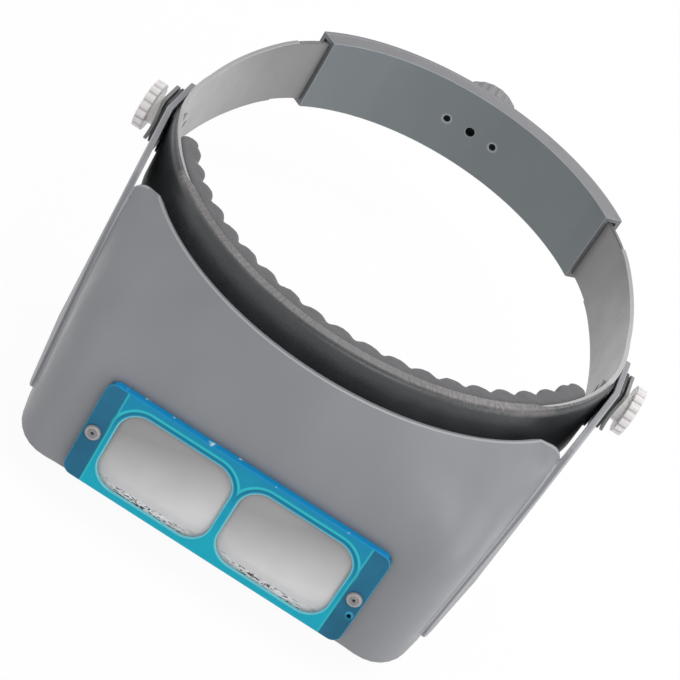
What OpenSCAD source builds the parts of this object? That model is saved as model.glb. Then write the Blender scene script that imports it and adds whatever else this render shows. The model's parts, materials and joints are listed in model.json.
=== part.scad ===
// Headband magnifier: a hinged visor hood with a snap-on lens plate, worn on
// a padded headband whose rear housing winds two rack straps in and out.
// X to the wearer's left, Y to the back of the head, Z up. The origin lies
// midway between the two temple pivots, on the axis that the visor turns on.

/* [Headband strip] */
// Outer radius of the front strip in plan
strip_r = 88.4; // [84:0.2:94]
// Thickness of the front strip and of the rear straps
strip_t = 1.8; // [1.4:0.1:2.2]
// Height of the strip and straps
strip_h = 28; // [24:0.5:32]
// Distance of the front strip's centre behind the pivot axis
strip_y = 3.9; // [0:0.1:8]
// Radius of the strip's flatter sides, behind the temples
side_r = 200; // [170:5:260]
// Place behind the pivot axis where the front arc meets the flatter side
join_y = 16; // [15:0.1:18]
// Gap between the front strip's end and the strap that carries it on
split_gap = 0.35; // [0.3:0.05:0.6]
// Share of the flatter side that belongs to the front strip
split_share = 0.4775; // [0.4:0.0005:0.55]

/* [Leather cover] */
// Angle each side of the front that the cover wraps on the outside
cover_angle = 77; // [70:1:80]
// Angle each side of the front that the cover's top and bottom flaps reach
flap_angle = 51; // [46:1:58]
// Fullness of the cover in front of the strip, at the middle
cover_full = 4.6; // [3:0.1:6]
// Thickness of the cover's skin
cover_t = 1.1; // [0.8:0.1:1.6]
// Depth of the flaps, from the strip's inner face towards the head
flap_depth = 0.1; // [0:0.1:2]

/* [Sweat pad] */
// Angle each side of the front that the pad reaches
pad_angle = 68; // [60:1:72]
// Thickness of the pad at the valleys between its scallops
pad_t = 4.2; // [3.4:0.1:6]
// Number of scallops
scallops = 19; // [15:2:23]
// Height of a scallop over the valleys
scallop_depth = 2.7; // [1.5:0.1:4]

/* [Rear housing] */
// Radius of the housing's inner face in plan
housing_r = 77.5; // [75:0.1:80]
// Distance in front of the pivots of the point two housing radii before its centre
rear_lead = 114.4; // [110:0.1:118]
// Thickness of the housing from inner to outer face
housing_t = 9; // [8.6:0.1:11]
// How much flatter the housing's back is than its front
housing_taper = 2.8; // [0:0.1:4]
// Height of the housing
housing_h = 30.8; // [30.4:0.1:34]
// Angle each side of the back that the housing reaches
housing_angle = 52.5; // [48:0.5:56]
// Wall of the housing
housing_wall = 1.8; // [1.4:0.1:2.2]
// Spacing of the three holes in the inner wall
hole_step = 10.7; // [9.5:0.1:12]
// Radius of the middle hole
hole_mid_r = 1.95; // [1.4:0.05:2.2]
// Radius of the housing screws' holes
hole_side_r = 1.4; // [1.2:0.05:1.6]

/* [Rack and pinion] */
// Gear module
gear_m = 1; // [0.9:0.05:1.1]
// Teeth on the pinion
pinion_teeth = 10; // [10:2:12]
// Pressure angle
gear_pa = 25; // [22:1:28]
// Play taken off each tooth's thickness
backlash = 0.24; // [0.15:0.01:0.35]
// Teeth of a rack finger past the pinion
finger_teeth = 6; // [5:1:6]
// Angle from the back where a strap's full height ends and its finger starts
finger_root = 36; // [33:1:38]
// Angle from the back where the strap steps up to its stop shoulder
shoulder_angle = 64; // [63:0.5:66]
// Height of the shoulder over the tongue, each side
shoulder_h = 0.7; // [0.5:0.1:1.2]

/* [Adjuster knob] */
// Radius of the rear knob
knob_r = 15; // [13:0.5:17]
// Length of the rear knob
knob_l = 11; // [9:0.5:13]
// Grip flutes on the rear knob
knob_flutes = 24; // [18:2:30]

/* [Temple pivots] */
// Thickness of a visor arm
arm_t = 2.2; // [1.8:0.1:3]
// Thickness of the temple bracket's plate outside the strip, at its thinnest
bracket_t = 0.7; // [0.5:0.1:1.5]
// Side of the square friction and pressure plates
plate_side = 17.6; // [15:0.2:20]
// Corner radius of the square plates
plate_round = 3; // [2:0.5:4]
// Thickness of the friction plate
friction_t = 1; // [0.8:0.1:1.4]
// Thickness of the bowed pressure plate
pressure_t = 1.2; // [1:0.1:1.6]
// Lift of the pressure plate's ends
pressure_bow = 0.8; // [0.4:0.1:1.2]
// Radius of the clear knob's head
thumb_r = 9.3; // [8:0.1:11]
// Thickness of the clear knob's head
thumb_t = 3.6; // [3:0.1:4.5]
// Lobes round the clear knob's head
thumb_lobes = 16; // [12:1:20]
// Length of the clear knob's collar
collar_l = 3.1; // [2:0.1:4]
// Radius of the clear knob's collar
collar_r = 5.6; // [5:0.1:6.5]
// Radius of the pivot screw's shank
shank_r = 2.42; // [2:0.02:2.8]
// Radial running clearance of a shaft in its bore
run_gap = 0.08; // [0.05:0.01:0.1]

/* [Visor hood] */
// Height of a visor arm at the pivot
arm_h = 18.8; // [18.2:0.1:22]
// Wall of the hood
hood_wall = 2; // [1.6:0.1:2.4]
// Height of the hood's rear edge over the pivots
hood_top_z = 7; // [4:0.5:9]
// Depth of the hood's lower edge under the pivots
hood_bottom_z = 66; // [65.5:0.1:70]
// How much larger the radius of the hood's rear edge is than the front strip's
hood_clear = 1.1; // [0.6:0.1:3]
// Distance of the rear edge's centre in front of the pivots
hood_y = 6; // [5:0.1:8]
// Radius of the hood's lower front corners in plan
hood_corner_r = 16; // [13:0.5:20]
// Radius of the hood's upper corners
hood_round = 4; // [3:0.5:7]
// Forward swell of the lower corners beside the lens plate
hood_swell = 0.8; // [0:0.1:2]
// How far the arms draw in for each millimetre forward of the pivots
arm_draw = 0.165; // [0.14:0.005:0.18]
// How far they draw in for each millimetre beside the hood's box
box_draw = 0.237; // [0.2:0.001:0.25]

/* [Lens plate] */
// Width of the lens frame over its ears
frame_w = 104; // [98:0.5:108]
// Height of the lens frame
frame_h = 37.5; // [36:0.5:40]
// Thickness of the frame's plate and ears
frame_t = 3; // [2.4:0.1:3.6]
// Depth of the frame's block behind the plate
frame_depth = 5; // [4:0.5:7]
// Width of an ear beside the frame's block
ear_w = 7.5; // [6:0.1:9]
// Distance of the frame's top front edge in front of the pivots
frame_y = 108.9; // [106:0.1:112]
// Distance of the frame's top front edge under the pivots
frame_z = 27; // [26:0.1:28]
// Lean of the frame, its foot forward
frame_tilt = 6; // [4:0.5:8]
// Bar between a lens window and the block's end
window_side = 1.8; // [1.4:0.1:3]
// Height of a lens window
window_h = 29.5; // [26:0.5:30.5]
// Corner radius of a window
window_round = 8; // [6:0.5:10]
// Bar between the two windows
bridge_w = 3.4; // [2.4:0.2:6]
// Distance from the frame's top edge to a window
window_drop = 4.9; // [4.2:0.1:5.6]
// Edge thickness of a glass
glass_t = 2.4; // [2:0.1:3]
// Radius of a glass's faces
glass_r = 300; // [250:5:400]
// Radius of a snap stud's head
stud_r = 2.65; // [2.2:0.05:3]
// Distance of a stud from the end of its ear
stud_inset = 3.5; // [3.2:0.1:4.5]
// Distance of the studs under the frame's top edge
stud_drop = 19.3; // [17:0.1:21]
// Radius of the accessory hole in one ear
ring_hole_r = 0.8; // [0.6:0.05:1]
// Distance of the accessory hole under the frame's top edge
ring_hole_drop = 26.1; // [25.5:0.1:30]

/* [Hidden] */
$fn = 96;
seat = 0.05;
gap = 0.3;
far = 300;
strip_in = strip_r - strip_t;
temple_x = sqrt(strip_r * strip_r - strip_y * strip_y);
housing_y = 2 * housing_r - rear_lead;
insert_r = shank_r + run_gap + 0.55;
bracket_x = strip_r + bracket_t;
arm_x = bracket_x + 0.2;
bracket_y0 = -7;
bracket_y1 = 14.8;
bracket_h = 12.4;
arm_out = arm_x + arm_t;
friction_x = arm_out + seat;
pressure_x = friction_x + friction_t + seat;
collar_x = pressure_x + pressure_t + seat;
head_x = collar_x + collar_l;
collar_play = 0.6;

strap_out = housing_r + housing_wall + 0.5 + strip_t;
strap_in = strap_out - strip_t;
strap_mid = strap_out - strip_t / 2;
tongue_h = strip_h - 2 * shoulder_h;
rear_c = [0, housing_y];
join = [sqrt(pow(strip_r, 2) - pow(join_y - strip_y, 2)), join_y];
join_d = norm(join - rear_c);
side_d = side_r - strap_out;
fold = acos((pow(side_d, 2) + pow(join_d, 2) - pow(side_r, 2)) / (2 * side_d * join_d));
side_a1 = 180 + atan2(join_y - housing_y, join[0]) - fold;
side_c = rear_c - side_d * [cos(side_a1), sin(side_a1)];
side_a0 = atan2(join_y - side_c[1], join[0] - side_c[0]);
split_a = side_a0 + split_share * (side_a1 - side_a0);
split_half = split_gap / 2 / side_r * 180 / PI;
pinion_rp = gear_m * pinion_teeth / 2;
addendum = 0.8 * gear_m;
dedendum = 1.1 * gear_m;
rack_step = 180 * gear_m / strap_mid;
finger_over = (finger_teeth + 0.35) * rack_step;
finger_top = tongue_h / 2 - 0.8;
back_y = housing_y + housing_r;
cover_y = back_y + housing_t;
cover_in_y = cover_y - housing_wall;
race_y = back_y + housing_wall;
tooth_y0 = race_y + 0.15;
tooth_y1 = housing_y + strap_out + gap;
flange_t = 1.2;
flange_r = pinion_rp + 1.6;
spring_y = tooth_y1 + flange_t + gap / 2;
spring_r = 6.4;
spring_t = 0.5;
journal_r = 3.4;
drive_r = 2.9;
drive_l = 5.5;
drive_half = 2.2;
screw_r = 1.25;
screw_play = 0.2;
screw_head_r = 2.3;
boss_r = 2.4;

hood_seat = frame_t + 0.15;
shank_play = 0.2;
stud_shank_r = 1.3;
stud_hole_r = stud_shank_r + 0.1;
clip_y = hood_seat + hood_wall + gap;
clip_t = 0.9;
clip_r = 2.9;
ring_hole_inset = 1.9;
plate_round_r = 3.6;
stud_x = frame_w / 2 - stud_inset;
block_w = frame_w - 2 * ear_w;
block_h = frame_h - 3.5;
window_w = (block_w - bridge_w) / 2 - window_side;
hood_r = strip_r + hood_clear;
hood_levels = 18;
hood_steps = 24;
arm_bend_y = -norm([bracket_y0, bracket_h / 2]) - gap;
box_bend_y = 44 - frame_y;
arm_root = 0.6;
arm_end_r = 3;
arm_top = [-frame_y / 2, hood_top_z + 1.6 - arm_end_r];
arm_foot_r = 5;
arm_foot = [22.4 - frame_y, 8.5 - hood_bottom_z];
arm_heel_r = 2;
arm_heel = [24.9 - frame_y, 5.5 - hood_bottom_z];
hood_flare = 0.91;
flare_a = 54.5;
flare_back = 1.5;
side_top_y = 40.1 - frame_y;
side_foot_y = 21.6 - frame_y;
side_slope = 0.56;
corner_q = 0.95;
corner_steps = 5;
window_x = (window_w + bridge_w) / 2;
glass_w = window_w + 1.1;
glass_h = window_h + 1.1;
glass_lip = 0.9;
housing_out_r = housing_r + housing_t - housing_taper;

// A ring sector about the origin from angle a0 to a1, at most 180 degrees.
module ring_2d(r0, r1, a0, a1) {
    intersection() {
        difference() {
            circle(r1, $fn = 360);
            circle(r0, $fn = 360);
        }
        polygon(wedge(a0, a1, 2 * r1));
    }
}

module ring(r0, r1, a0, a1, h) {
    linear_extrude(h, center = true) ring_2d(r0, r1, a0, a1);
}

// The triangle fan that spans the angles a0 to a1 out to r.
function wedge(a0, a1, r) = concat([[0, 0]],
    [for (i = [0 : 8]) let (t = a0 + i * (a1 - a0) / 8) [r * cos(t), r * sin(t)]]);

// Points of an arc about c.
function arc(c, r, a, b, n = 6) = [for (i = [0 : n]) let (t = a + i * (b - a) / n)
    [c[0] + r * cos(t), c[1] + r * sin(t)]];

// Moves a thing built about the temple pivot to one side: 1 left, -1 right.
module temple(side) {
    if (side > 0) children();
    else mirror([1, 0, 0]) children();
}

module along_x(x) {
    translate([x, 0, 0]) rotate([90, 0, 90]) children();
}

// A rectangle with corners of radius r, made of arcs and straight edges.
module round_rect(w, h, r) {
    square([w - 2 * r, h], center = true);
    square([w, h - 2 * r], center = true);
    for (x = [-1, 1], y = [-1, 1])
        translate([x * (w / 2 - r), y * (h / 2 - r)]) circle(r, $fn = 48);
}

// Headband
module front_band() {
    cut = [for (x = [0, far]) [x, side_c[1] + (x - side_c[0]) * tan(side_a0)]];
    color("#8b8b8c") difference() {
        union() {
            translate([0, strip_y, 0]) linear_extrude(strip_h, center = true) difference() {
                circle(strip_r, $fn = 360);
                circle(strip_in, $fn = 360);
                for (m = [0, 1]) mirror([m, 0]) translate([0, -strip_y])
                    polygon([cut[0], cut[1], [far, far], [0, far]]);
            }
            for (m = [0, 1]) mirror([m, 0, 0]) translate(side_c)
                ring(side_r - strip_t, side_r, side_a0 - 0.05, split_a - split_half, strip_h);
        }
        rotate([0, 90, 0]) cylinder(h = far, r = insert_r + seat, center = true);
    }
}

module leather_cover() {
    cover_r = strip_r - 0.4;
    cover_y0 = cover_r - strip_r + strip_y - cover_full;
    out_h = strip_h + 2 * (seat + cover_t);
    color("#3a3e41") {
        intersection() {
            difference() {
                translate([0, cover_y0, 0]) cylinder(h = out_h, r = cover_r, center = true, $fn = 180);
                translate([0, strip_y, 0])
                    cylinder(h = far, r = strip_r + seat, center = true, $fn = 180);
            }
            translate([0, strip_y, 0]) ring(strip_in, far, -90 - cover_angle, -90 + cover_angle, far);
        }
        for (m = [0, 1]) mirror([0, 0, m])
            translate([0, strip_y, strip_h / 2 + seat + cover_t / 2])
                ring(strip_in - flap_depth, strip_r + 2 * seat, -90 - flap_angle,
                    -90 + flap_angle, cover_t);
    }
}

module sweat_pad() {
    outer = strip_in - seat;
    inner = outer - pad_t;
    end_r = (pad_t + scallop_depth) / 2;
    end_a = pad_angle - end_r / outer * 180 / PI;
    pitch = 2 * end_a / scallops;
    half_chord = inner * sin(pitch / 2);
    lobe_r = (pow(half_chord, 2) + pow(scallop_depth, 2)) / (2 * scallop_depth);
    lobe_c = inner * cos(pitch / 2) + lobe_r - scallop_depth;
    color("#7f7f82") translate([0, strip_y, 0]) linear_extrude(strip_h, center = true)
        intersection() {
            circle(outer, $fn = 360);
            union() {
                ring_2d(inner + 1, 2 * outer, -90 - end_a, -90 + end_a);
                for (i = [0 : scallops - 1]) rotate((i - (scallops - 1) / 2) * pitch)
                    translate([0, -lobe_c]) circle(lobe_r, $fn = 48);
                for (s = [-1, 1]) rotate(s * end_a) translate([0, end_r - outer - 0.4])
                    circle(end_r, $fn = 48);
            }
        }
}

module temple_bracket(side) {
    color("#151516") temple(side) difference() {
        translate([0, (bracket_y0 + bracket_y1) / 2, 0])
            along_x(bracket_x - 8) linear_extrude(8)
                round_rect(bracket_y1 - bracket_y0, bracket_h, 2.5);
        translate([0, strip_y, 0]) cylinder(h = far, r = strip_r + seat, center = true, $fn = 180);
        along_x(0) cylinder(h = far, r = insert_r + seat);
    }
}

module pivot_insert(side) {
    flange_x = sqrt(strip_in * strip_in - pow(insert_r + 1.6 + strip_y, 2)) - seat;
    color("#6f6f70") temple(side) difference() {
        union() {
            along_x(flange_x - 1) cylinder(h = 1, r = insert_r + 1.6);
            along_x(flange_x - 0.5) cylinder(h = bracket_x - 0.2 - flange_x + 0.5, r = insert_r);
        }
        along_x(0) cylinder(h = far, r = shank_r + run_gap);
    }
}

// Straps with rack fingers
// The gaps between a rack's teeth, cut radially through the strap.
module rack_gaps() {
    half_pitch = PI * gear_m / 2;
    half_gap = half_pitch / 2 + backlash / 2;
    z0 = pinion_rp - addendum - 0.3;
    z1 = pinion_rp + dedendum;
    w0 = half_gap + (pinion_rp - z0) * tan(gear_pa);
    w1 = half_gap + (pinion_rp - z1) * tan(gear_pa);
    for (k = [-finger_teeth : finger_teeth]) rotate(90 - (k + 0.5) * rack_step)
        translate([strap_in - 1, 0, 0]) rotate([90, 0, 90]) linear_extrude(strip_t + 2)
            polygon([[-w0, z0], [w0, z0], [w1, z1], [-w1, z1]]);
}

// The left strap in plan: the flatter side, then the arc inside the housing.
module strap_body() {
    linear_extrude(strip_h, center = true) {
        translate(side_c) ring_2d(side_r - strip_t, side_r, split_a + split_half, side_a1);
        translate(rear_c) ring_2d(strap_in, strap_out, side_a1, 90 + finger_over);
    }
}

// The space above z = 0 from angle a0 on, over the back to the other strap's side.
module back_wedge(a0) {
    translate(rear_c) linear_extrude(far) polygon(wedge(a0, 150, far));
}

module strap(side) {
    color("#b3b1ae") temple(side) mirror([0, 0, side > 0 ? 0 : 1]) difference() {
        strap_body();
        for (m = [0, 1]) mirror([0, 0, m]) translate([0, 0, tongue_h / 2])
            back_wedge(90 - shoulder_angle);
        translate([0, 0, pinion_rp - addendum - far]) back_wedge(90 - finger_root);
        translate([0, 0, finger_top]) back_wedge(90 - finger_root);
        translate(rear_c) rack_gaps();
    }
}

// Rear housing
module housing_plan(inner, inset) {
    intersection() {
        difference() {
            translate([0, housing_taper]) circle(housing_out_r - inset, $fn = 360);
            circle(inner, $fn = 360);
        }
        polygon(wedge(90 - housing_angle, 90 + housing_angle, far));
    }
}

module housing_shell() {
    color("#737b7f") difference() {
        translate(rear_c) difference() {
            linear_extrude(housing_h, center = true) housing_plan(housing_r, housing_wall + seat);
            linear_extrude(housing_h - 2 * housing_wall, center = true) difference() {
                circle(far);
                circle(housing_r + housing_wall, $fn = 360);
            }
        }
        rotate([-90, 0, 0]) cylinder(h = far, r = hole_mid_r);
        for (x = [-1, 1]) translate([x * hole_step, 0, 0]) rotate([-90, 0, 0])
            cylinder(h = far, r = hole_side_r);
    }
}

module housing_cover() {
    color("#6b7377") difference() {
        union() {
            translate(rear_c) linear_extrude(housing_h, center = true) difference() {
                housing_plan(housing_r + housing_wall, 0);
                housing_plan(0, housing_wall);
            }
            for (x = [-1, 1]) translate([x * hole_step, race_y + seat, 0])
                rotate([-90, 0, 0]) cylinder(h = housing_t - 2 * housing_wall, r = boss_r);
        }
        rotate([-90, 0, 0]) cylinder(h = far, r = journal_r + run_gap);
        for (x = [-1, 1]) translate([x * hole_step, 0, 0]) rotate([-90, 0, 0])
            cylinder(h = cover_in_y, r = screw_r - screw_play);
    }
}

module housing_screws() {
    head_y = housing_y + sqrt(pow(housing_r, 2) - pow(hole_step, 2)) + 0.6;
    color("#5a5d60") for (x = [-1, 1]) translate([x * hole_step, head_y, 0])
        rotate([-90, 0, 0]) difference() {
            union() {
                cylinder(h = 1.1, r = hole_side_r - 0.1);
                cylinder(h = cover_in_y - 1 - head_y, r = screw_r - screw_play - seat);
            }
            cross_slot(1.8, 0.4);
        }
}

// The driver's slots in a screw head whose face is at z = 0.
module cross_slot(l, w) {
    for (a = [0, 90]) rotate(a) translate([-l / 2, -w / 2, -1]) cube([l, w, 1.6]);
}

// Involute pinion
function inv_xy(rb, t) = [rb * (cos(t) + t * PI / 180 * sin(t)),
    rb * (sin(t) - t * PI / 180 * cos(t))];

function turned(p, a) = [p[0] * cos(a) - p[1] * sin(a), p[0] * sin(a) + p[1] * cos(a)];

module gear_outline() {
    rb = pinion_rp * cos(gear_pa);
    ro = pinion_rp + addendum;
    rr = pinion_rp - dedendum;
    to = sqrt(ro * ro / (rb * rb) - 1) * 180 / PI;
    tp = tan(gear_pa) * 180 / PI;
    lead = tp - gear_pa;
    half = 90 / pinion_teeth - backlash / 2 / pinion_rp * 180 / PI;
    circle(rr, $fn = 40);
    for (i = [0 : pinion_teeth - 1]) rotate(90 + (i + 0.5) * 360 / pinion_teeth)
        polygon(concat([[rr * 0.9, -1.1 * gear_m]],
            [for (k = [0 : 5]) turned(inv_xy(rb, k * to / 5), -half - lead)],
            [for (k = [5 : -1 : 0]) let (p = inv_xy(rb, k * to / 5))
                turned([p[0], -p[1]], half + lead)],
            [[rr * 0.9, 1.1 * gear_m]]));
}

module pinion() {
    color("#d8d8d4") difference() {
        union() {
            translate([0, tooth_y1, 0]) rotate([90, 0, 0])
                linear_extrude(tooth_y1 - tooth_y0) gear_outline();
            translate([0, tooth_y1, 0]) rotate([-90, 0, 0]) cylinder(h = flange_t, r = flange_r);
            translate([0, tooth_y1, 0]) rotate([-90, 0, 0])
                cylinder(h = cover_y + gap - tooth_y1, r = journal_r);
            translate([0, cover_y, 0]) rotate([-90, 0, 0]) intersection() {
                cylinder(h = drive_l, r = drive_r);
                translate([-drive_r, -drive_half, 0]) cube([2 * drive_r, 2 * drive_half, far]);
            }
        }
        rotate([-90, 0, 0]) cylinder(h = far, r = screw_r + seat);
        translate([0, tooth_y0 - 1, 0]) rotate([-90, 0, 0]) cylinder(h = 2.6, r = screw_head_r + seat);
    }
}

module detent_spring() {
    foot_r = spring_r + 2.4;
    wall_r = housing_out_r - housing_wall;
    foot_y = cover_in_y - wall_r + sqrt(pow(wall_r, 2) - pow(foot_r + 1, 2)) - seat;
    color("#a9abad") difference() {
        union() {
            translate([0, spring_y, 0]) rotate([-90, 0, 0]) cylinder(h = spring_t, r = spring_r);
            for (a = [90 : 120 : 330]) rotate([0, a, 0])
                translate([spring_r - 1.8, spring_y, -1])
                    cube([foot_r - spring_r + 1.8, foot_y - spring_y, 2]);
        }
        rotate([-90, 0, 0]) cylinder(h = far, r = journal_r + 0.4);
    }
}

module adjuster_knob() {
    y0 = cover_y + gap;
    edge = 3;
    color("#5f666a") difference() {
        translate([0, y0, 0]) rotate([-90, 0, 0]) rotate_extrude() polygon(concat(
            [[0, 0], [knob_r - 1, 0], [knob_r, 1], [knob_r, knob_l - edge]],
            [for (a = [15 : 15 : 90]) [knob_r - edge + edge * cos(a), knob_l - edge + edge * sin(a)]],
            [[0, knob_l]]));
        for (i = [0 : knob_flutes - 1]) rotate([0, i * 360 / knob_flutes, 0])
            translate([knob_r + 0.5, y0 + 1, 0]) rotate([-90, 0, 0])
                cylinder(h = knob_l, r = 1.1, $fn = 24);
        translate([0, y0 - 1, 0]) rotate([-90, 0, 0]) intersection() {
            cylinder(h = drive_l + 1 - gap + seat, r = drive_r + seat);
            translate([-2 * drive_r, -drive_half - seat, 0])
                cube([4 * drive_r, 2 * (drive_half + seat), far]);
        }
        translate([0, y0 - 1, 0]) rotate([-90, 0, 0]) cylinder(h = 1.1, r = journal_r + seat);
        rotate([-90, 0, 0]) cylinder(h = y0 + drive_l + 3, r = screw_r - screw_play);
    }
}

module axle_screw() {
    head_y = tooth_y0 + 0.2;
    color("#c4c4c2") translate([0, head_y, 0]) rotate([-90, 0, 0]) difference() {
        union() {
            cylinder(h = 1.3, r = screw_head_r);
            cylinder(h = cover_y + drive_l + 2 - head_y, r = screw_r - screw_play - seat);
        }
        cross_slot(3, 0.5);
    }
}

// Visor arms: flat beside the pivot, then drawn in along the hood's sides.
// The line in plan that lies s outside the arm's inner face.
function arm_line(y, s) = min(arm_x + s,
    arm_x + arm_draw * (y - arm_bend_y) + s * norm([1, arm_draw]),
    arm_x + arm_draw * (box_bend_y - arm_bend_y) + box_draw * (y - box_bend_y)
        + s * norm([1, box_draw]));

function arm_in(y) = arm_line(y, 0);

module side_arm() {
    inner = [for (y = [bracket_y1, arm_bend_y, box_bend_y, -frame_y]) [arm_in(y), y]];
    outer = [for (y = [-frame_y, box_bend_y - arm_t * (arm_draw + box_draw) / 2,
        arm_bend_y - arm_t * arm_draw / 2, bracket_y1]) [arm_line(y, arm_t), y]];
    difference() {
        intersection() {
            linear_extrude(far, center = true) polygon(concat(inner, outer));
            along_x(0) linear_extrude(far) arm_outline();
        }
        along_x(0) cylinder(h = far, r = shank_r + shank_play);
    }
}

// The arm from the side: y across, z up.
module arm_outline() {
    end_y = bracket_y1 - arm_end_r;
    end_z = arm_h / 2 - arm_end_r;
    polygon(concat(
        arc([end_y, -end_z], arm_end_r, -90, 0),
        arc([end_y, end_z], arm_end_r, 0, 90),
        arc(arm_top, arm_end_r, 92, 155),
        arc(arm_foot, arm_foot_r, 155, 265),
        arc(arm_heel, arm_heel_r, 265, 310),
        [[arm_bend_y, -1 - arm_h / 2]]));
}

// Visor hood, lofted from the arc of its rear edge to the square lower front
function hood_front(z) = -frame_y + hood_seat + min(0, z + frame_z) * tan(frame_tilt);

// The rear edge in plan: an arc up to the flare's angle, then a flare to the arm.
function edge_pt(q) = let (a = flare_a * min(1, q / hood_flare),
        p1 = [hood_r * sin(a), -hood_y - hood_r * cos(a)],
        y2 = p1[1] + flare_back,
        p2 = [arm_in(y2) + arm_root, y2])
    q <= hood_flare ? p1 : p1 + (p2 - p1) * (q - hood_flare) / (1 - hood_flare);

// Where the hood's side ends inside the arm, behind the arm's front edge.
function hood_side_end(z) = max(side_foot_y, side_top_y + min(0, z + frame_z) * side_slope);

// The lower front in plan: flat, a round corner, then the side beside the arm.
function box_pt(q, z) = let (
        yf = hood_front(z),
        lean = atan(box_draw),
        yc = yf + hood_corner_r,
        xc = arm_in(yc) + arm_root - hood_corner_r / cos(lean),
        turn = 90 - lean,
        round_l = PI * hood_corner_r * turn / 180,
        e = [xc + hood_corner_r * sin(turn), yc - hood_corner_r * cos(turn)],
        side_l = (hood_side_end(z) - e[1]) / cos(lean),
        d = q <= hood_flare ? q / hood_flare * (xc + round_l)
            : xc + round_l + (q - hood_flare) / (1 - hood_flare) * side_l,
        t = (d - xc) / round_l * turn,
        swell = hood_swell * pow(sin(180 * min(1, max(0, (q - 0.6) / 0.3))), 2))
    d <= xc ? [d, yf - swell]
        : d <= xc + round_l ? [xc + hood_corner_r * sin(t), yc - hood_corner_r * cos(t) - swell]
            : e + (d - xc - round_l) * [sin(lean), cos(lean)];

function hood_pt(q, z) = let (
        u = min(1, (hood_top_z - z) / (hood_top_z + frame_z)),
        b = sin(90 * u),
        aq = abs(q),
        p = edge_pt(aq) * (1 - b) + box_pt(aq, z) * b)
    [q < 0 ? -p[0] : p[0], p[1], z];

function hood_normal(q, z) = let (e = 0.004,
        q0 = max(-1, q - e), q1 = min(1, q + e),
        z0 = max(-hood_bottom_z, z - 0.1), z1 = min(hood_top_z, z + 0.1),
        n = cross(hood_pt(q1, z) - hood_pt(q0, z), hood_pt(q, z1) - hood_pt(q, z0)))
    n / norm(n);

function hood_in(q, z) = let (n = hood_normal(q, z), p = hood_pt(q, z))
    [p[0] - hood_wall * n[0], p[1] - hood_wall * n[1], z];

// Height of the rear edge, which rounds down at the upper corners.
function hood_edge_z(q) = let (t = min(1, max(0, (abs(q) - corner_q) / (1 - corner_q))))
    hood_top_z - hood_round * (1 - sqrt(1 - t * t));

module hood_skin() {
    half = concat([for (i = [1 : hood_steps]) corner_q * i / hood_steps],
        [for (i = [1 : corner_steps]) corner_q + (1 - corner_q) * sin(90 * i / corner_steps)]);
    qs = concat([for (i = [len(half) - 1 : -1 : 0]) -half[i]], [0], half);
    nq = len(qs);
    nz = hood_levels + 1;
    level = function (q, j) hood_edge_z(q) - j * (hood_edge_z(q) + hood_bottom_z) / hood_levels;
    outer = [for (j = [0 : hood_levels]) for (q = qs) hood_pt(q, level(q, j))];
    inner = [for (j = [0 : hood_levels]) for (q = qs) hood_in(q, level(q, j))];
    base = nq * nz;
    at = function (i, j) j * nq + i;
    quads = concat(
        [for (j = [0 : nz - 2]) for (i = [0 : nq - 2])
            [at(i, j), at(i + 1, j), at(i + 1, j + 1), at(i, j + 1)]],
        [for (j = [0 : nz - 2]) for (i = [0 : nq - 2])
            [base + at(i, j), base + at(i, j + 1), base + at(i + 1, j + 1), base + at(i + 1, j)]],
        [for (i = [0 : nq - 2]) [at(i, 0), base + at(i, 0), base + at(i + 1, 0), at(i + 1, 0)]],
        [for (i = [0 : nq - 2]) [at(i, nz - 1), at(i + 1, nz - 1),
            base + at(i + 1, nz - 1), base + at(i, nz - 1)]],
        [for (j = [0 : nz - 2]) [at(0, j), at(0, j + 1), base + at(0, j + 1), base + at(0, j)]],
        [for (j = [0 : nz - 2]) [at(nq - 1, j), base + at(nq - 1, j),
            base + at(nq - 1, j + 1), at(nq - 1, j + 1)]]);
    tris = [for (f = quads) each [[f[0], f[1], f[2]], [f[0], f[2], f[3]]]];
    polyhedron(points = concat(outer, inner), faces = tris);
}

// Places a thing in the lens plate's own frame: its top front edge at z = 0,
// its face on y = 0, the plate hanging down and its back towards +y.
module plate_frame() {
    translate([0, -frame_y, -frame_z]) rotate([-frame_tilt, 0, 0]) children();
}

module visor_hood() {
    color("#868789") difference() {
        union() {
            hood_skin();
            for (m = [0, 1]) mirror([m, 0, 0]) side_arm();
        }
        plate_frame() translate([0, 0, -frame_h / 2]) rotate([90, 0, 0])
            linear_extrude(far, center = true) square([block_w + 1, block_h + 1], center = true);
        for (x = [-1, 1]) plate_frame() translate([x * stud_x, 0, -stud_drop])
            rotate([-90, 0, 0]) cylinder(h = clip_y + clip_t, r = stud_hole_r);
    }
}

// Lens plate
module lens_frame() {
    pocket_t = glass_t + 0.1;
    color("#1a9fb8", 0.8) plate_frame() difference() {
        union() {
            face_plate(0, frame_w, frame_h, frame_t, plate_round_r);
            face_plate(frame_t - 1, block_w, block_h, frame_depth + 1, 3);
        }
        for (x = [-1, 1]) translate([x * window_x, 0, frame_h / 2 - window_drop - window_h / 2]) {
            face_plate(-1, window_w, window_h, glass_lip + 2, window_round);
            face_plate(glass_lip, glass_w + 0.1, glass_h + 0.1, pocket_t, window_round);
            face_plate(glass_lip + 1, window_w - 2, window_h - 2, far, window_round - 1);
        }
        for (x = [-1, 1]) translate([x * stud_x, -1, -stud_drop]) rotate([-90, 0, 0])
            cylinder(h = frame_t + 2, r = stud_hole_r);
        translate([frame_w / 2 - ring_hole_inset, -1, -ring_hole_drop]) rotate([-90, 0, 0])
            cylinder(h = frame_t + 2, r = ring_hole_r);
    }
}

// A round-cornered plate from y to y + t behind the frame's face, about its middle.
module face_plate(y, w, h, t, r) {
    translate([0, y + t, -frame_h / 2]) rotate([90, 0, 0]) linear_extrude(t) round_rect(w, h, r);
}

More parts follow.
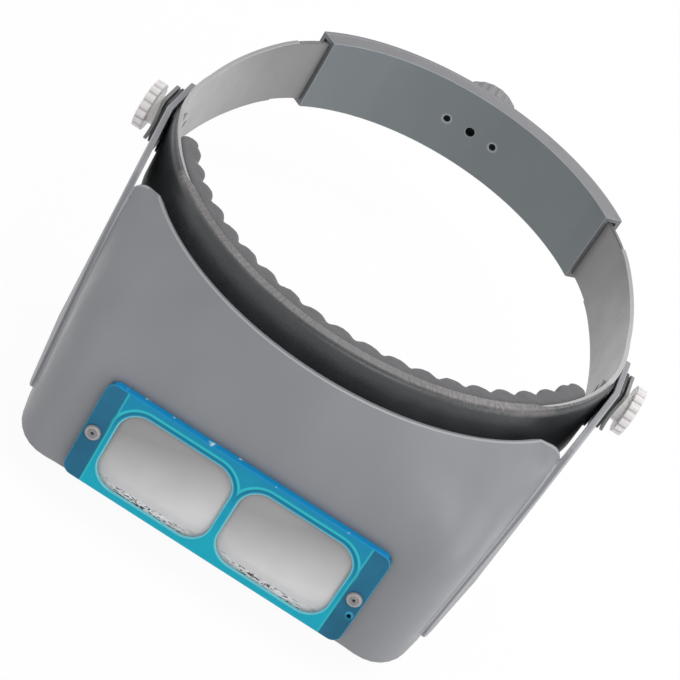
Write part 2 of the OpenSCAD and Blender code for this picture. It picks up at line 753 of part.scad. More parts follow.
// A glass: two shallow domes cut to the window's outline.
module lens(side) {
    half = glass_t / 2 + dome_drop(glass_h / 2) - 0.02;
    reach = norm([glass_w, glass_h]) / 2 + 1;
    face = [for (i = [0 : 10]) let (r = i * reach / 10) [r, half - dome_drop(r)]];
    color("#e6edf0", 0.5) plate_frame()
        translate([side * window_x, glass_lip + seat + glass_t / 2, -window_drop - window_h / 2])
            rotate([90, 0, 0]) intersection() {
                linear_extrude(far, center = true)
                    round_rect(glass_w, glass_h, window_round - 0.1);
                rotate_extrude()
                    polygon(concat(face, [for (i = [10 : -1 : 0]) [face[i][0], -face[i][1]]]));
            }
}

// How far a dome falls back at radius r from its crown.
function dome_drop(r) = glass_r - sqrt(pow(glass_r, 2) - pow(r, 2));

module stud(side) {
    stud_l = clip_y + clip_t - 0.1;
    color("#a9a7a9") plate_frame() translate([side * stud_x, 0, -stud_drop]) rotate([90, 0, 0])
        difference() {
            union() {
                translate([0, 0, seat]) rotate_extrude() polygon([[0, 0], [stud_r, 0],
                    [stud_r, 0.6], [stud_r - 0.5, 1.1], [0, 1.1]]);
                translate([0, 0, seat - stud_l]) cylinder(h = stud_l, r = stud_shank_r);
            }
            translate([0, 0, 0.7]) cylinder(h = 2, r = 0.6);
        }
}

module stud_clips() {
    color("#8c8c8e") for (x = [-1, 1]) plate_frame() translate([x * stud_x, clip_y, -stud_drop])
        rotate([-90, 0, 0]) difference() {
            cylinder(h = clip_t, r = clip_r);
            translate([0, 0, -1]) cylinder(h = 3, r = stud_shank_r + seat);
        }
}

// Temple clamp
module friction_plate(side) {
    color("#5c5f61") temple(side) along_x(friction_x) linear_extrude(friction_t) difference() {
        round_rect(plate_side, plate_side, plate_round);
        circle(shank_r + shank_play);
    }
}

module pressure_plate(side) {
    chord = plate_side / 2;
    r = (chord * chord + pressure_bow * pressure_bow) / (2 * pressure_bow);
    color("#77797a") temple(side) difference() {
        intersection() {
            along_x(pressure_x) linear_extrude(6)
                round_rect(plate_side, plate_side, plate_round);
            translate([pressure_x + r, 0, 0]) rotate([90, 0, 0]) difference() {
                cylinder(h = plate_side, r = r, center = true, $fn = 360);
                cylinder(h = far, r = r - pressure_t, center = true, $fn = 360);
            }
        }
        along_x(pressure_x + pressure_t) cylinder(h = far, r = collar_r + collar_play);
        along_x(0) cylinder(h = far, r = shank_r + shank_play);
    }
}

module pivot_knob(side) {
    lobe = thumb_r * sin(180 / thumb_lobes);
    color("#e9eaea", 0.7) temple(side) {
        along_x(head_x) linear_extrude(thumb_t) {
            circle(thumb_r - lobe);
            for (i = [0 : thumb_lobes - 1]) rotate(i * 360 / thumb_lobes)
                translate([thumb_r - lobe, 0]) circle(lobe, $fn = 32);
        }
        along_x(collar_x) cylinder(h = collar_l, r = collar_r);
        along_x(temple_x - strip_t) cylinder(h = head_x - temple_x + strip_t, r = shank_r);
    }
}

front_band();
leather_cover();
sweat_pad();
temple_bracket(1);  // temple_bracket_left
temple_bracket(-1);  // temple_bracket_right
pivot_insert(1);  // pivot_insert_left
pivot_insert(-1);  // pivot_insert_right
visor_hood();
lens_frame();
lens(1);  // lens_left
lens(-1);  // lens_right
stud(1);  // stud_left
stud(-1);  // stud_right
stud_clips();
friction_plate(1);  // friction_plate_left
friction_plate(-1);  // friction_plate_right
pressure_plate(1);  // pressure_plate_left
pressure_plate(-1);  // pressure_plate_right
pivot_knob(1);  // pivot_knob_left
pivot_knob(-1);  // pivot_knob_right
strap(1);  // strap_left
strap(-1);  // strap_right
housing_shell();
housing_cover();
housing_screws();
pinion();
detent_spring();
adjuster_knob();
axle_screw();
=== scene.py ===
"""Looks of the headband magnifier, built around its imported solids.

X to the wearer's left, Y to the back of the head, Z up, in metres. The origin
is midway between the two temple pivots.
"""
import json
from math import acos, atan2, cos, pi, radians, sin, sqrt

import bmesh
import bpy
from bpy.props import FloatProperty, FloatVectorProperty, PointerProperty
from mathutils import Matrix, Vector, noise

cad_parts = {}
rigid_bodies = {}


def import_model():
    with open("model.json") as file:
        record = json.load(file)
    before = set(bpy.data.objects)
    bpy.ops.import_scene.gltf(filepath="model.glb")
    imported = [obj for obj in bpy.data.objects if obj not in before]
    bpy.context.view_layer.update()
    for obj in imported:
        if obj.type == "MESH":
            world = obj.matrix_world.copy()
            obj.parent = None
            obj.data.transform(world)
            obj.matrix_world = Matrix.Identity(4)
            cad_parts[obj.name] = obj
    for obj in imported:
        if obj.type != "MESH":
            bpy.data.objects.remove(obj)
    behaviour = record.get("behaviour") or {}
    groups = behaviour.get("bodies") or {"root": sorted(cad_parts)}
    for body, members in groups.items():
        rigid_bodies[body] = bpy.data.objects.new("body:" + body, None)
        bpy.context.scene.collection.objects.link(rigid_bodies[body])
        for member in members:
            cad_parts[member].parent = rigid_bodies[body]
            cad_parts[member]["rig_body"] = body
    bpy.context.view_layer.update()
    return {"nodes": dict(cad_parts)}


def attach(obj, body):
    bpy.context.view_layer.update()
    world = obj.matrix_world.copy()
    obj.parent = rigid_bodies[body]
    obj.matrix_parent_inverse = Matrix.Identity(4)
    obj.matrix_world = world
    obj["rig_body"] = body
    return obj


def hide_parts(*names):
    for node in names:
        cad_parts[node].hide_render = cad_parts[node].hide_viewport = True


bl_info = {
    "name": "Headband Magnifier",
    "version": (1, 0, 0),
    "blender": (4, 5, 0),
    "location": "View3D > Sidebar > Magnifier",
    "description": "Builds the headband magnifier's pieces, finishes and stage",
    "category": "Add Mesh",
}

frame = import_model()
NODES = frame["nodes"]
MM = 0.001

# Corners closer than this are merged, with more for the front strip's narrow joins
CAD_WELD = 0.002 * MM
FRONT_WELD = 0.19 * MM
# Leather cover: half its angle, half its flaps' angle, and the circle of its front
COVER_HALF = radians(77)
FLAP_HALF = radians(52)
COVER_RADIUS = 88 * MM
COVER_AHEAD = 5 * MM
# Share of the flatter side at which a rear strap takes over from the front strip
SPLIT_SHARE = 0.4775
# Holes of the rear housing, and the rings round its screw holes
SCREW_ASIDE = 10.7 * MM
SCREW_HOLE = 1.4 * MM
AXLE_HOLE = 1.95 * MM
RING_RADIUS = 1.85 * MM
RING_WIDTH = 0.5 * MM
# Loupe hole, in millimetres across and down the lens plate
LOUPE_ASIDE = 50.1
LOUPE_DROP = 25.4
# Lobes of a clear knob
KNOB_LOBES = 16
# The photograph's camera: angles, places in metres, then pixels and film width
CAMERA_LIFT = 0.5759587
CAMERA_ROLL = radians(32.6)
CAMERA_DISTANCE = 0.676
CAMERA_ASIDE = 1.01 * MM
CAMERA_DROP = 0.03331
PHOTO_FOCUS = 1944
PHOTO_SIDE = 680
FILM_WIDTH = 36
# Stage: the floor under the pivots, and how strongly floor and sky shine
FLOOR_DROP = 0.0845
FLOOR_GLOW = 0.93
SKY_LIGHT = 0.62


def linear(code):
    """A colour as Blender's linear values, from its six-digit code."""
    parts = [int(code[i:i + 2], 16) / 255 for i in (0, 2, 4)]
    return tuple(p / 12.92 if p <= 0.04045 else ((p + 0.055) / 1.055) ** 2.4 for p in parts)


def size(name, default, text):
    """A length that a user may change."""
    return FloatProperty(name=name, description=text, default=default, unit="LENGTH",
                         precision=5, min=0)


def colour(name, code, text):
    """A colour that a user may change."""
    return FloatVectorProperty(name=name, description=text, default=linear(code),
                               subtype="COLOR", size=3, min=0, max=1)


class MagnifierSizes(bpy.types.PropertyGroup):
    """Sizes that the new pieces and the patterns are made from."""
    strip_radius: size("Strip radius", 88.4 * MM, "Outer radius of the front strip")
    strip_thickness: size("Strip thickness", 1.8 * MM, "Thickness of the strip and straps")
    strip_set_back: size("Strip set back", 3.9 * MM, "Centre of the strip behind the pivots")
    strip_height: size("Strip height", 28 * MM, "Height of the headband strip")
    side_radius: size("Side radius", 200 * MM, "Radius of the strip's flatter sides")
    join_back: size("Join", 16 * MM, "Where the flatter sides start behind the pivots")
    housing_radius: size("Housing radius", 77.5 * MM, "Inner radius of the rear housing")
    housing_back: size("Housing centre", 40.6 * MM, "Housing's centre behind the pivots")
    housing_wall: size("Housing wall", 1.8 * MM, "Wall of the rear housing")
    housing_outer: size("Housing outer radius", 83.7 * MM, "Radius of the housing's back")
    housing_taper: size("Housing taper", 2.8 * MM, "Set back of the housing's outer centre")
    strap_radius: size("Strap radius", 81.6 * MM, "Outer radius of the straps in the housing")
    cover_fullness: size("Cover fullness", 4.55 * MM, "How far the cover stands off the strip")
    flap_depth: size("Flap depth", 0.1 * MM, "Reach of the cover's flaps over the pad")
    fold_radius: size("Fold radius", 2.4 * MM, "Radius of the cover's top and bottom folds")
    plate_lead: size("Plate lead", 108.9 * MM, "Lens plate's top edge before the pivots")
    plate_drop: size("Plate drop", 27 * MM, "Lens plate's top edge under the pivots")
    plate_tilt: FloatProperty(name="Plate tilt", description="Lean of the lens plate",
                              default=radians(6), subtype="ANGLE")
    block_half: size("Block half width", 44.5 * MM, "Half the width of the plate's block")
    window_width: size("Window width", 41 * MM, "Width of a lens window")
    window_height: size("Window height", 29.5 * MM, "Height of a lens window")
    window_round: size("Window corner", 8 * MM, "Corner radius of a lens window")
    window_place: size("Window place", 22.2 * MM, "Window's centre beside the middle")
    window_middle: size("Window middle", 19.65 * MM, "Window's centre under the plate's top")
    glass_radius: size("Glass radius", 300 * MM, "Radius of a glass's faces")
    stud_place: size("Stud place", 48.5 * MM, "Stud beside the plate's middle")
    stud_drop: size("Stud drop", 19.3 * MM, "Stud under the plate's top edge")
    edge_ease: size("Edge ease", 0.3 * MM, "Rounding of the moulded edges")


class MagnifierColours(bpy.types.PropertyGroup):
    """Colours of the finishes."""
    hood: colour("Hood", "838488", "Moulded visor hood")
    housing: colour("Housing", "737a7d", "Rear housing")
    housing_outside: colour("Housing outside", "6f6e72", "Outside of the rear housing")
    screw_ring: colour("Screw ring", "a7abad", "Rings round the screw holes")
    # Painted shade in the housing's holes
    hole_shade: colour("Hole wall", "15191b", "Walls of the housing's holes")
    strip: colour("Strip", "8b8a8a", "Headband strip and rear straps")
    # Painted light on the strip beside the temples
    temple_light: colour("Handled strip", "bab9b9", "Strip beside the temples")
    leather: colour("Leather", "323537", "Forehead cover's front")
    # Rubbed leather, paler partly as painted light from above
    rubbed_and_lit: colour("Worn leather", "565353", "Forehead cover's top and bottom")
    foam: colour("Foam", "616164", "Sweat pad")
    tint_low: colour("Tint low", "00b0c8", "Lens plate near its foot")
    tint_high: colour("Tint high", "0590b8", "Lens plate near its top")
    tint_ear: colour("Tint ear", "1b6b8c", "Lens plate's ears")
    step_light: colour("Step light", "35d3d6", "Lit steps round windows and block")
    step_dark: colour("Step dark", "06799c", "Shaded steps beside them")
    # Painted highlight on the lips of the lens windows
    window_lip_highlight: colour("Window lip", "7fd2da", "Lips of the lens windows")
    loupe_ring: colour("Loupe ring", "3ba3cb", "Edge of the loupe hole")
    # Painted highlight on the lens plate's eased edges
    plate_edge_highlight: colour("Plate edge", "4cb8d6", "Lens plate's eased edges")
    plate_rim: colour("Plate rim", "0793cf", "Lens plate's top face")
    glint: colour("Glint", "dffbf6", "Glints on that face")
    # Painted light seen in the glasses, paler near their foot
    glass_light_low: colour("Glass low", "e4e2e3", "Glasses near their foot")
    glass_light_high: colour("Glass high", "a4a2a3", "Glasses near their top")
    # Painted glints and painted dark refractions at the glasses' foot
    spark: colour("Spark", "fdfcfc", "Bright chips at the glasses' foot")
    dark_refraction: colour("Spark gap", "33373a", "Dark chips beside them")
    nickel_low: colour("Nickel low", "7b797b", "Studs where darker")
    nickel_high: colour("Nickel high", "939193", "Studs where paler")
    stud_ring: colour("Stud ring", "a9a7a8", "Pressed ring of a stud")
    stud_middle: colour("Stud middle", "101011", "Middle of a stud")
    washer: colour("Washer", "27292a", "Friction plates")
    pressure: colour("Pressure plate", "727371", "Bowed plates under the knobs")
    clear_low: colour("Clear low", "f6f1f1", "Clear knobs where darker")
    clear_high: colour("Clear high", "fefcfc", "Clear knobs where paler")
    # Painted shade in the grooves of the clear knobs
    groove_shade: colour("Knob groove", "cdc5c3", "Grooves of the clear knobs")
    black: colour("Black", "0d0d0e", "Temple brackets")
    knob: colour("Size knob", "7d7c80", "Rear size knob")


def chosen(context):
    """The colours and the sizes in use."""
    return context.scene.magnifier_colours, context.scene.magnifier_sizes


def plate_space(sizes):
    """Turn and shift that carry a point into the lens plate's own space."""
    turn = Matrix.Rotation(sizes.plate_tilt, 3, "X")
    return turn, turn @ Vector((0, sizes.plate_lead, sizes.plate_drop))


# Shader nodes

def add(tree, kind, inputs=None, **settings):
    """Adds a shader node, sets its settings, and fills or links its inputs."""
    node = tree.nodes.new("ShaderNode" + kind)
    for key, value in settings.items():
        setattr(node, key, value)
    for key, value in (inputs or {}).items():
        if isinstance(value, bpy.types.NodeSocket):
            tree.links.new(value, node.inputs[key])
        else:
            node.inputs[key].default_value = value
    return node


def calc(tree, operation, first, second=0.0):
    """One step of arithmetic on sockets or numbers."""
    return add(tree, "Math", {0: first, 1: second}, operation=operation).outputs[0]


def times(tree, first, second):
    """The product of two sockets or numbers."""
    return calc(tree, "MULTIPLY", first, second)


def scaled(tree, vector, factor):
    """A vector made longer or shorter."""
    return add(tree, "VectorMath", {0: vector, "Scale": factor}, operation="SCALE").outputs[0]


def noise_at(tree, coords, scale, detail, stretch=(1, 1, 1)):
    """A cloudy pattern that averages a half."""
    spread = add(tree, "Mapping", {"Vector": coords, "Scale": stretch}).outputs[0]
    return add(tree, "TexNoise", {"Vector": spread, "Scale": scale, "Detail": detail,
                                  "Roughness": 0.55}).outputs["Fac"]


def ramp(tree, factor, low, high, out_low, out_high):
    """Carries a factor from one range to another, and stops at its ends."""
    return add(tree, "MapRange", {"Value": factor, "From Min": low, "From Max": high,
                                  "To Min": out_low, "To Max": out_high}).outputs[0]


def blend_colour(tree, factor, a, b):
    """Colour a at factor 0 and colour b at factor 1."""
    mixer = add(tree, "Mix", data_type="RGBA")
    for socket, value in (("Factor_Float", factor), ("A_Color", a), ("B_Color", b)):
        target = next(s for s in mixer.inputs if s.identifier == socket)
        if isinstance(value, bpy.types.NodeSocket):
            tree.links.new(value, target)
        else:
            target.default_value = (*value, 1) if socket != "Factor_Float" else value
    return next(s for s in mixer.outputs if s.identifier == "Result_Color")


def mottled(tree, pattern, a, b, low=0.3):
    """Two colours blended by a cloudy pattern."""
    return blend_colour(tree, ramp(tree, pattern, low, 0.7, 0, 1), a, b)


def line_length(tree, a, b):
    """Length of the line whose two legs are a and b."""
    return calc(tree, "SQRT", calc(tree, "ADD", calc(tree, "POWER", a, 2.0),
                                   calc(tree, "POWER", b, 2.0)))


def line_at(tree, value, centre, width):
    """1 within half a width of a value, fading to 0 at a whole width."""
    off = calc(tree, "ABSOLUTE", calc(tree, "SUBTRACT", value, centre))
    return ramp(tree, off, width / 2, width, 1, 0)


def round_space(tree, coords, set_back, radius):
    """Arc length, radius and height about the strip's centre."""
    split = add(tree, "SeparateXYZ", {0: coords}).outputs
    ahead = calc(tree, "SUBTRACT", set_back, split["Y"])
    angle = calc(tree, "ARCTAN2", split["X"], ahead)
    reach = line_length(tree, split["X"], ahead)
    arc = times(tree, angle, radius)
    joined = add(tree, "CombineXYZ", {0: arc, 1: reach, 2: split["Z"]})
    return joined.outputs[0], arc, reach, split["Z"]


def shade(rgb, factor):
    """A colour made darker or paler."""
    return tuple(min(1, c * factor) for c in rgb)


def rubbed_and_lit_edge(tree):
    """1 on the eased edges of a piece, 0 elsewhere."""
    return add(tree, "Attribute", attribute_name="rubbed_and_lit_edge").outputs["Fac"]


# Finishes

def new_finish(name, **sockets):
    """A material, its node tree, its main shader and its object coordinates."""
    made = bpy.data.materials.new(name)
    made.use_nodes = True
    tree = made.node_tree
    shader = tree.nodes["Principled BSDF"]
    for key, value in sockets.items():
        shader.inputs[key.replace("_", " ")].default_value = value
    coords = add(tree, "TexCoord").outputs["Object"]
    return made, tree, shader, coords


def set_base(tree, shader, base, rough):
    """Links a finish's colour and its roughness."""
    tree.links.new(base, shader.inputs["Base Color"])
    tree.links.new(rough, shader.inputs["Roughness"])


def set_bump(tree, shader, height, strength, depth):
    """Raises a finish's surface by a pattern."""
    bump = add(tree, "Bump", {"Height": height, "Strength": strength, "Distance": depth})
    tree.links.new(bump.outputs[0], shader.inputs["Normal"])


def moulded(name, rgb, rough=0.42, grain=2400, vary=0.05, tint=None, edge_rub_and_light=0.85):
    """Moulded plastic: a fine spark-eroded grain, faint flow marks, and paler edges from wear
    and a painted highlight.
    """
    made, tree, shader, coords = new_finish(name, Specular_IOR_Level=0.5)
    flow = noise_at(tree, coords, 38, 2, (1, 1, 0.35))
    base = mottled(tree, flow, shade(rgb, 1 - vary), shade(rgb, 1 + vary))
    specks = noise_at(tree, coords, grain * 0.42, 2)
    base = blend_colour(tree, ramp(tree, specks, 0.72, 0.8, 0, 0.22), base, shade(rgb, 1.35))
    if tint:
        base = tint(tree, coords, base)
    # Eased edges painted paler: partly wear, partly a painted highlight
    edge = times(tree, rubbed_and_lit_edge(tree), edge_rub_and_light)
    base = blend_colour(tree, edge, base, shade(rgb, 1.75))
    wear = noise_at(tree, coords, 95, 4)
    set_base(tree, shader, base, ramp(tree, wear, 0.3, 0.7, rough - 0.05, rough + 0.06))
    set_bump(tree, shader, noise_at(tree, coords, grain, 2), 0.5, 0.02 * MM)
    return made


def strip_tint(tones):
    """Painted light: the strip is paler beside the temples, where its inner face catches the
    light.
    """
    def tint(tree, coords, base):
        back = add(tree, "SeparateXYZ", {0: coords}).outputs["Y"]
        return blend_colour(tree, ramp(tree, back, 0, 62 * MM, 0.6, 0), base, tones.temple_light)
    return tint


def housing_tint(tones, sizes):
    """A neutral outside, painted shade in the holes, and a pale ring round each screw's hole.
    """
    def tint(tree, coords, base):
        split = add(tree, "SeparateXYZ", {0: coords}).outputs
        across, high = split["X"], split["Z"]
        behind = calc(tree, "SUBTRACT", split["Y"], sizes.housing_back)
        reach = line_length(tree, across, behind)
        outside = ramp(tree, reach, sizes.housing_radius + 0.3 * MM,
                       sizes.housing_radius + 0.5 * MM, 0, 1)
        base = blend_colour(tree, outside, base, tones.housing_outside)
        beside = calc(tree, "SUBTRACT", calc(tree, "ABSOLUTE", across), SCREW_ASIDE)
        from_screw = line_length(tree, beside, high)
        from_axle = line_length(tree, across, high)
        ring = line_at(tree, from_screw, RING_RADIUS, RING_WIDTH)
        base = blend_colour(tree, times(tree, ring, 0.6), base, tones.screw_ring)
        # Painted shade on the walls of the screw and axle holes
        for apart, hole in ((from_screw, SCREW_HOLE), (from_axle, AXLE_HOLE)):
            dark = ramp(tree, apart, hole + 0.02 * MM, hole + 0.14 * MM, 0.9, 0)
            base = blend_colour(tree, dark, base, tones.hole_shade)
        return base
    return tint


def pebble_cells(tree, coords):
    """Distance to the nearest edge of the leather's uneven cells."""
    warp = add(tree, "TexNoise", {"Vector": coords, "Scale": 260, "Detail": 2})
    shift = scaled(tree, warp.outputs["Color"], 0.0012)
    moved = add(tree, "VectorMath", {0: coords, 1: shift}, operation="ADD")
    return add(tree, "TexVoronoi", {"Vector": moved.outputs[0], "Scale": 900},
               feature="DISTANCE_TO_EDGE").outputs["Distance"]


def rubbed_and_lit_share(tree, arc, reach, height, sizes):
    """1 on the cover's top and bottom over the flaps, fading to its front and ends; there the
    leather is rubbed and paler, partly as painted light.
    """
    upper = ramp(tree, calc(tree, "ABSOLUTE", height), 10.8 * MM, 13.8 * MM, 0, 1)
    flap_end = FLAP_HALF * sizes.strip_radius
    over_flaps = ramp(tree, calc(tree, "ABSOLUTE", arc), flap_end, flap_end + 4 * MM, 1, 0.1)
    narrowed = calc(tree, "ADD", reach, ramp(tree, arc, 0, 0.4 * flap_end,
                                             1.5 * MM, 1.1 * MM))
    behind_front = ramp(tree, narrowed, sizes.strip_radius + 3.0 * MM,
                        sizes.strip_radius + 5.6 * MM, 1, 0.1)
    return times(tree, times(tree, upper, over_flaps), behind_front)


def gathered_and_highlit_share(tree, band, arc, sizes):
    """Where the rubbed leather is gathered and carries painted highlights: in patches, and
    most at the wearer's left.
    """
    flap_end = FLAP_HALF * sizes.strip_radius
    patches = ramp(tree, noise_at(tree, band, 30, 1, (1, 0, 0)), 0.48, 0.6, 0.06, 0.9)
    pulled = times(tree, ramp(tree, arc, 0.25 * flap_end, 0.55 * flap_end, 0, 1),
                   ramp(tree, arc, 0.8 * flap_end, 0.95 * flap_end, 1, 0.3))
    return calc(tree, "MAXIMUM", patches, pulled)


def leather_finish(rgb, rubbed_and_lit_rgb, sizes):
    """Glossy pressed grain, with a rubbed top, paler partly as painted light from above, whose
    creases run across the band.
    """
    made, tree, shader, coords = new_finish("leather_grain", Specular_IOR_Level=0.5,
                                            Coat_Weight=0.1, Coat_Roughness=0.25)
    band, arc, reach, height = round_space(tree, coords, sizes.strip_set_back,
                                           sizes.strip_radius)
    cells = pebble_cells(tree, coords)
    pebble = ramp(tree, cells, 0.0, 0.22, 0, 1)
    upper = rubbed_and_lit_share(tree, arc, reach, height, sizes)
    gather = gathered_and_highlit_share(tree, band, arc, sizes)
    creases = ramp(tree, noise_at(tree, band, 1500, 3, (1, 0.12, 0.12)), 0.5, 0.6, 0, 1)
    creases = times(tree, times(tree, creases, gather), upper)
    relief = calc(tree, "ADD", pebble, times(tree, creases, 4.5))
    set_bump(tree, shader, relief, 0.5, 0.06 * MM)
    cloud = noise_at(tree, coords, 70, 4)
    front = mottled(tree, cloud, shade(rgb, 0.85), shade(rgb, 1.25), low=0.35)
    # Top and bottom: rubbed colour, paler partly as painted light
    top = mottled(tree, cloud, shade(rubbed_and_lit_rgb, 0.72), shade(rubbed_and_lit_rgb, 1.15))
    # Painted highlights in patches where the leather is gathered
    top = blend_colour(tree, times(tree, gather, 0.45), top, shade(rubbed_and_lit_rgb, 2.0))
    # Painted glints on the tops of the creases
    top = blend_colour(tree, ramp(tree, creases, 0.3, 0.9, 0, 0.7), top, shade(rubbed_and_lit_rgb, 2.9))
    uneven = times(tree, calc(tree, "SUBTRACT", cloud, 0.5), 0.9)
    fade = times(tree, calc(tree, "ADD", upper, uneven), upper)
    base = blend_colour(tree, ramp(tree, fade, 0.2, 0.95, 0, 1), front, top)
    # Painted shade in the crevices of the grain
    base = blend_colour(tree, ramp(tree, cells, 0.0, 0.1, 0.3, 0), base, shade(rgb, 0.6))
    # Painted shadow along the flap's inner edge, where the cover meets the pad
    inside = sizes.strip_radius - sizes.strip_thickness
    seam_shadow = ramp(tree, reach, inside + 0.1 * MM, inside + 0.45 * MM, 0.75, 0)
    base = blend_colour(tree, seam_shadow, base, shade(rgb, 0.5))
    set_base(tree, shader, base, ramp(tree, cloud, 0.3, 0.7, 0.3, 0.42))
    return made


def foam_finish(rgb):
    """Open-cell foam: pits of several sizes, with painted shade in them, and a dusty sheen."""
    made, tree, shader, coords = new_finish("foam_cells", Sheen_Weight=0.25,
                                            Sheen_Roughness=0.6, Specular_IOR_Level=0.2)
    pits = add(tree, "TexVoronoi", {"Vector": coords, "Scale": 1500},
               feature="F1").outputs["Distance"]
    fine = noise_at(tree, coords, 3000, 3)
    set_bump(tree, shader, calc(tree, "ADD", pits, fine), 0.6, 0.12 * MM)
    base = mottled(tree, noise_at(tree, coords, 120, 3), shade(rgb, 0.92), shade(rgb, 1.08))
    # Painted shade in the pits
    base = blend_colour(tree, ramp(tree, pits, 0.0, 0.35, 0.35, 0), base, shade(rgb, 0.6))
    set_base(tree, shader, base, ramp(tree, fine, 0.3, 0.7, 0.82, 0.98))
    return made


def plate_coords(tree, coords, sizes):
    """The lens plate's own space in millimetres: the point, side, across and up."""
    shift = plate_space(sizes)[1]
    moved = add(tree, "Mapping", {"Vector": coords, "Location": shift,
                                  "Rotation": (sizes.plate_tilt, 0, 0)}).outputs[0]
    grown = scaled(tree, moved, 1 / MM)
    split = add(tree, "SeparateXYZ", {0: grown}).outputs
    return grown, split["X"], calc(tree, "ABSOLUTE", split["X"]), split["Z"]


def window_distance(tree, across, up, sizes):
    """Millimetres outside a lens window's rounded outline, negative inside."""
    corner = sizes.window_round / MM
    gaps = []
    for value, centre, extent in ((across, sizes.window_place, sizes.window_width),
                                  (up, -sizes.window_middle, sizes.window_height)):
        off = calc(tree, "ABSOLUTE", calc(tree, "SUBTRACT", value, centre / MM))
        gaps.append(calc(tree, "SUBTRACT", off, extent / 2 / MM - corner))
    outside = line_length(tree, *(calc(tree, "MAXIMUM", gap, 0.0) for gap in gaps))
    inside = calc(tree, "MINIMUM", calc(tree, "MAXIMUM", *gaps), 0.0)
    return calc(tree, "SUBTRACT", calc(tree, "ADD", outside, inside), corner)


def tinted_finish(tones, sizes):
    """Polished acrylic, tinted through its mass, with light and shade painted on its steps,
    window lips and edges.
    """
    made, tree, shader, coords = new_finish("tinted_acrylic", IOR=1.49, Roughness=0.1,
                                            Transmission_Weight=0.15,
                                            Specular_IOR_Level=0.18)
    local, side, across, up = plate_coords(tree, coords, sizes)
    apart = window_distance(tree, across, up, sizes)
    mass = noise_at(tree, coords, 60, 2)
    height = calc(tree, "ADD", ramp(tree, up, -34, -2, 0, 1),
                  ramp(tree, mass, 0.3, 0.7, -0.15, 0.15))
    block = blend_colour(tree, height, tones.tint_low, tones.tint_high)
    ear = mottled(tree, mass, shade(tones.tint_ear, 0.85), shade(tones.tint_ear, 1.2))
    edge = sizes.block_half / MM
    base = blend_colour(tree, ramp(tree, across, edge, edge + 0.5, 0, 1), block, ear)
    high = ramp(tree, up, -16, -8, 0, 1)
    window_step = times(tree, line_at(tree, apart, 2.3, 0.55), high)
    block_step = times(tree, 0.8, line_at(tree, across, edge + 0.2, 0.4))
    glow = calc(tree, "MAXIMUM", window_step, block_step)
    from_hole = line_length(tree, calc(tree, "SUBTRACT", side, LOUPE_ASIDE),
                            calc(tree, "ADD", up, LOUPE_DROP))
    rim = ramp(tree, up, -0.6, -0.3, 0, 1)
    glints = ramp(tree, noise_at(tree, local, 0.16, 3, (1, 1, 0.3)), 0.62, 0.68, 0, 1)
    marks = (
        (times(tree, glow, 0.75), tones.step_light),
        (times(tree, line_at(tree, apart, 1.35, 0.5), high), tones.step_dark),
        # Painted highlight on the window lips
        (line_at(tree, apart, 0.1, 0.55), tones.window_lip_highlight),
        (line_at(tree, from_hole, 0.95, 0.4), tones.loupe_ring),
        # Painted highlight on the eased edges
        (times(tree, rubbed_and_lit_edge(tree), 0.3), tones.plate_edge_highlight),
        (rim, tones.plate_rim),
        (times(tree, glints, rim), tones.glint),
    )
    for share, tone in marks:
        base = blend_colour(tree, share, base, tone)
    scuffs = noise_at(tree, coords, 420, 6, (1, 0.2, 1))
    set_base(tree, shader, base, ramp(tree, scuffs, 0.45, 0.75, 0.08, 0.18))
    return made


def glass_finish(tones, sizes):
    """Magnifying glass whose colour is painted light: paler near its foot and greyer near its
    top, with painted glints and dark refractions at its foot.
    """
    made, tree, shader, coords = new_finish("magnifying_glass", IOR=1.5,
                                            Transmission_Weight=0.3,
                                            Specular_IOR_Level=0.4)
    local, side, across, up = plate_coords(tree, coords, sizes)
    apart = window_distance(tree, across, up, sizes)
    middle = sizes.window_place / MM
    inward = calc(tree, "ABSOLUTE", calc(tree, "SUBTRACT", across, middle))
    own_middle = times(tree, calc(tree, "SIGN", side), middle)
    own_side = calc(tree, "SUBTRACT", side, own_middle)
    lean = calc(tree, "SUBTRACT", up, times(tree, own_side, 0.3))
    drift = ramp(tree, noise_at(tree, coords, 38, 2), 0.3, 0.7, -0.1, 0.1)
    height = calc(tree, "ADD", ramp(tree, lean, -30, -9, 0, 1), drift)
    # Painted light: the glass is paler low down and greyer up high
    base = blend_colour(tree, height, tones.glass_light_low, tones.glass_light_high)
    foot = ramp(tree, up, -31.6, -31.0, 1, 0)
    near = times(tree, foot, ramp(tree, apart, -2.3, -1.7, 0, 1))
    near = times(tree, near, ramp(tree, inward, 8, 15, 1, 0.25))
    flat = add(tree, "Mapping", {"Vector": local, "Scale": (0.5, 0.6, 1.9)}).outputs[0]
    refractions = add(tree, "TexVoronoi", {"Vector": flat, "Scale": 1.6}, feature="F1")
    tone = add(tree, "SeparateColor", {0: refractions.outputs["Color"]}).outputs[0]
    # Painted glints of refraction, with painted dark between them
    bright = times(tree, near, ramp(tree, tone, 0.42, 0.46, 0, 1))
    dark = times(tree, near, ramp(tree, tone, 0.24, 0.28, 0.95, 0))
    base = blend_colour(tree, bright, base, tones.spark)
    base = blend_colour(tree, dark, base, tones.dark_refraction)
    dust = noise_at(tree, coords, 900, 4)
    set_base(tree, shader, base, ramp(tree, dust, 0.5, 0.8, 0.12, 0.22))
    return made


